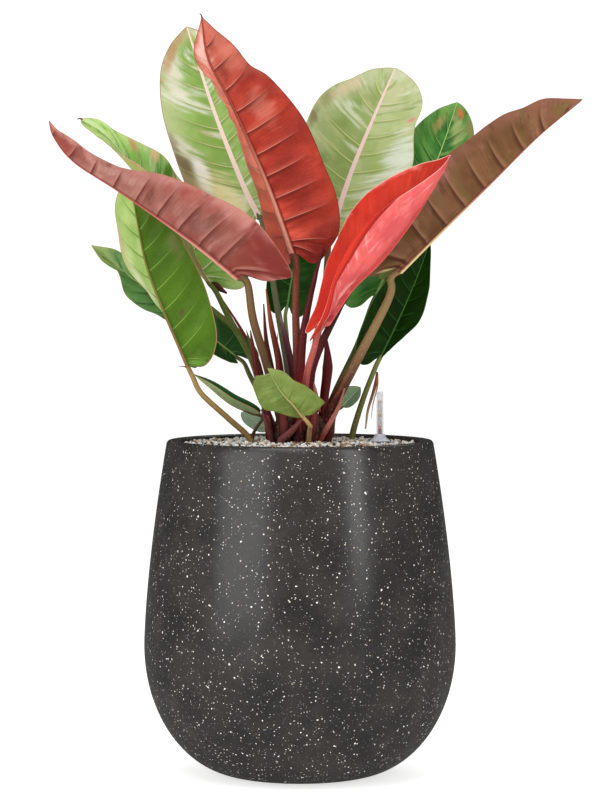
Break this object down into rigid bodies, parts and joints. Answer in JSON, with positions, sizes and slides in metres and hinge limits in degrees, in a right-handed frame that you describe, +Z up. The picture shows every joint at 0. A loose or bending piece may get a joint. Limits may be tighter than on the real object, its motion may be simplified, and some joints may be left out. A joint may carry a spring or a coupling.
{
  "type": "potted prince of orange philodendron",
  "caption": "Foliage plant with broad pointed leaves from red to dark green on long stalks, in a rounded dark terrazzo pot with gravel and a water gauge.",
  "frame": {"origin": "centre of the pot's flat base, on the surface it stands on", "axes": "+Z up along the pot's axis, -Y towards the viewer of the picture, +X to the viewer's right"},
  "size_m": [0.5875, 0.3606, 0.873],
  "materials": {
    "leaf_red": "satin",
    "leaf_orange_red": "satin",
    "leaf_rose": "satin",
    "leaf_bronze": "satin",
    "leaf_pale": "satin",
    "leaf_lime": "satin",
    "leaf_green": "satin",
    "leaf_dark": "satin",
    "leaf_grey_green": "satin",
    "stalk": "satin",
    "sheath": "satin",
    "crown": "matte",
    "gravel": "matte",
    "terrazzo": "satin",
    "shaft": "satin",
    "collar": "satin",
    "clear_tube": "gloss",
    "float": "satin",
    "scale": "satin"
  },
  "bodies": {
    "root": {"leaf_red": "leaf_red", "leaf_new": "leaf_orange_red", "leaf_rose": "leaf_rose", "leaf_bronze": "leaf_bronze", "leaf_cream_left": "leaf_pale", "leaf_cream_right": "leaf_pale", "leaf_lime": "leaf_lime", "leaf_drooping": "leaf_green", "leaf_green_right": "leaf_green", "leaf_front": "leaf_green", "leaf_dark_left": "leaf_dark", "leaf_dark_right": "leaf_dark", "leaf_dark_back": "leaf_dark", "leaf_folded": "leaf_dark", "leaf_tiny_back": "leaf_grey_green", "leaf_tiny_right": "leaf_grey_green", "stalk_red": "stalk", "stalk_cream_left": "stalk", "stalk_rose": "stalk", "stalk_lime": "stalk", "stalk_drooping": "stalk", "stalk_dark_left": "stalk", "stalk_front": "stalk", "stalk_folded": "stalk", "stalk_tiny_back": "stalk", "stalk_cream_right": "stalk", "stalk_green_right": "stalk", "stalk_bronze": "stalk", "stalk_new": "stalk", "stalk_dark_right": "stalk", "stalk_tiny_right": "stalk", "stalk_dark_back": "stalk", "sheath_tall": "sheath", "sheath_long": "sheath", "sheath_swollen": "sheath", "sheath_amber": "sheath", "sheath_slim": "sheath", "sheath_purple": "sheath", "sheath_short": "sheath", "sheath_thin": "sheath", "bract_left": "sheath", "bract_front": "sheath", "crown": "crown", "substrate": "gravel", "pot": "terrazzo", "gauge_shaft": "shaft", "gauge_collar": "collar", "gauge_tube": "clear_tube", "gauge_float": "float", "gauge_scale": "scale"}
  },
  "joints": []
}
